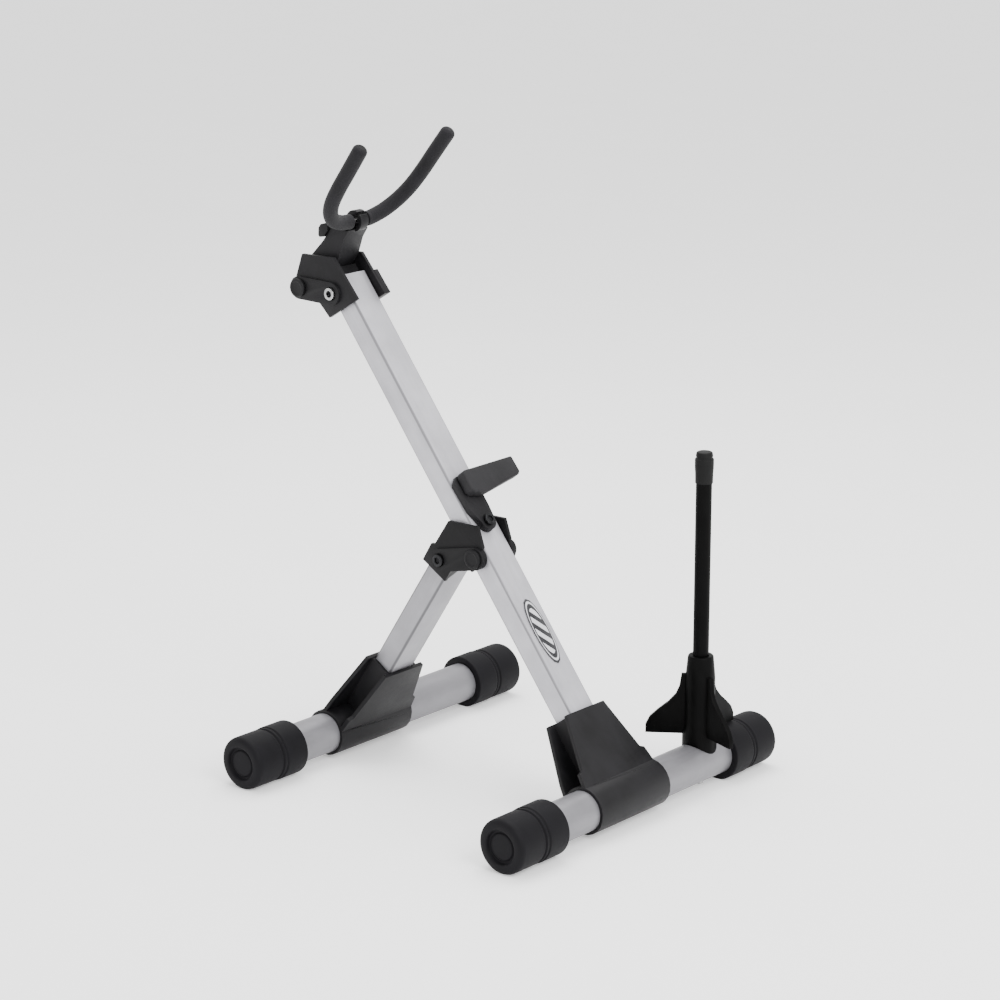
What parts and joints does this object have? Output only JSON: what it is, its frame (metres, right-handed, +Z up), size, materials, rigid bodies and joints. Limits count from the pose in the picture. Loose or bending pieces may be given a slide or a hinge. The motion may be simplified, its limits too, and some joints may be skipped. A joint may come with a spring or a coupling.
{
  "type": "folding instrument floor stand",
  "caption": "Folding floor stand for a wind instrument: leaning tube on T feet with a folding rear leg, a padded yoke, a lower rest and an upright peg.",
  "frame": {"origin": "on the floor, under the middle of the stand's outer box", "axes": "+Z up, +X to the side that carries the peg, -Y to the front, where the instrument leans"},
  "size_m": [0.335, 0.38, 0.5355],
  "materials": {
    "silver_tube": "satin silver, fine drawn grain",
    "black_plastic": "moulded black, fine spark texture",
    "rubber": "black rubber, matt",
    "foam": "charcoal foam rubber tube",
    "zinc": "bright zinc plate",
    "black_steel": "black oxide",
    "nylon": "natural nylon",
    "label": "blank glossy black label"
  },
  "bodies": {
    "main_frame": {"main_tube": "silver_tube", "front_foot_tube": "silver_tube", "front_cap_left": "rubber", "front_cap_right": "rubber", "front_socket": "black_plastic", "front_socket_screw": "zinc", "top_fork": "black_plastic", "top_bolt": "zinc", "top_nut": "zinc", "top_pivot_pin": "zinc", "top_pivot_cap_left": "black_plastic", "top_pivot_cap_right": "black_plastic", "knee_bush": "nylon", "rest_base": "black_plastic", "rest_bolt": "black_steel", "rest_insert": "zinc", "badge": "label", "peg_holder": "black_plastic", "peg_screw": "zinc"},
    "rear_leg": {"rear_tube": "silver_tube", "rear_foot_tube": "silver_tube", "rear_cap_left": "rubber", "rear_cap_right": "rubber", "rear_socket": "black_plastic", "rear_socket_screw": "zinc", "knee_fork": "black_plastic", "knee_bolt": "black_steel", "knee_nut": "black_steel", "knee_pivot_pin": "zinc", "knee_pivot_cap_left": "black_plastic", "knee_pivot_cap_right": "black_plastic"},
    "yoke_support": {"yoke_arm": "black_plastic", "yoke_wing_screw": "black_plastic"},
    "yoke": {"yoke_rod": "zinc", "yoke_sleeve_left": "foam", "yoke_sleeve_right": "foam", "yoke_tip_left": "foam", "yoke_tip_right": "foam"},
    "lower_rest": {"rest_arm": "black_plastic", "rest_pad": "rubber"},
    "peg": {"peg_shaft": "black_plastic", "peg_tip": "rubber"}
  },
  "joints": [
    {"name": "rear_leg_fold", "type": "hinge", "parent": "main_frame", "child": "rear_leg", "pos_m": [-0.0215, -0.01211, 0.19967], "axis": [-1, 0, 0], "range_deg": [0, 65]},
    {"name": "yoke_arm_fold", "type": "hinge", "parent": "main_frame", "child": "yoke_support", "pos_m": [-0.0215, 0.18044, 0.39876], "axis": [-1, 0, 0], "range_deg": [0, 230]},
    {"name": "yoke_tilt", "type": "hinge", "parent": "yoke_support", "child": "yoke", "pos_m": [-0.0215, 0.13427, 0.45786], "axis": [1, 0, 0], "range_deg": [-45, 45]},
    {"name": "rest_swing", "type": "hinge", "parent": "main_frame", "child": "lower_rest", "pos_m": [-0.0225, 0.00216, 0.21846], "axis": [0, -0.7965, 0.6046], "range_deg": [-30, 30]},
    {"name": "peg_lift", "type": "slide", "parent": "main_frame", "child": "peg", "axis": [0, 0, 1], "range_m": [0, 0.05]}
  ]
}
